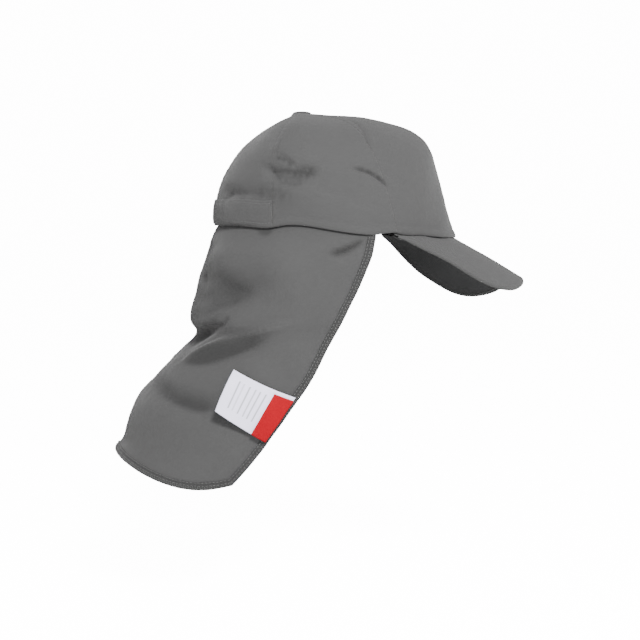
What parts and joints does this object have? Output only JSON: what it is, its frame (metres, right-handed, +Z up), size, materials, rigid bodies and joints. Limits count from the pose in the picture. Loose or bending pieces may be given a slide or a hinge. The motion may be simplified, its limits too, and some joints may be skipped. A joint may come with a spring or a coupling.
{
  "type": "sun flap cap",
  "caption": "Soft panelled cap with a curved peak, a band at the back and a long cloth flap that shades the ears and neck.",
  "frame": {"origin": "centre of the head opening, level with the rim's mean height", "axes": "+X the way the wearer faces, +Y to the wearer's left, +Z up"},
  "size_m": [0.3389, 0.1682, 0.3053],
  "materials": {
    "cap_cloth": "matte grey cotton twill",
    "peak_lining": "matte charcoal cloth",
    "hem_cloth": "matte dark grey folded cloth",
    "label_white": "smooth woven ribbon",
    "tab_red": "smooth woven ribbon"
  },
  "bodies": {
    "root": {"front_panel": "cap_cloth", "right_side_panel": "cap_cloth", "left_side_panel": "cap_cloth", "right_back_panel": "cap_cloth", "left_back_panel": "cap_cloth", "top_button": "cap_cloth", "back_band": "cap_cloth", "peak_top": "cap_cloth", "peak_under": "peak_lining", "neck_flap": "cap_cloth", "right_hem": "hem_cloth", "bottom_hem": "hem_cloth", "left_hem": "hem_cloth", "care_label": "label_white", "hem_tab": "tab_red"}
  },
  "joints": []
}
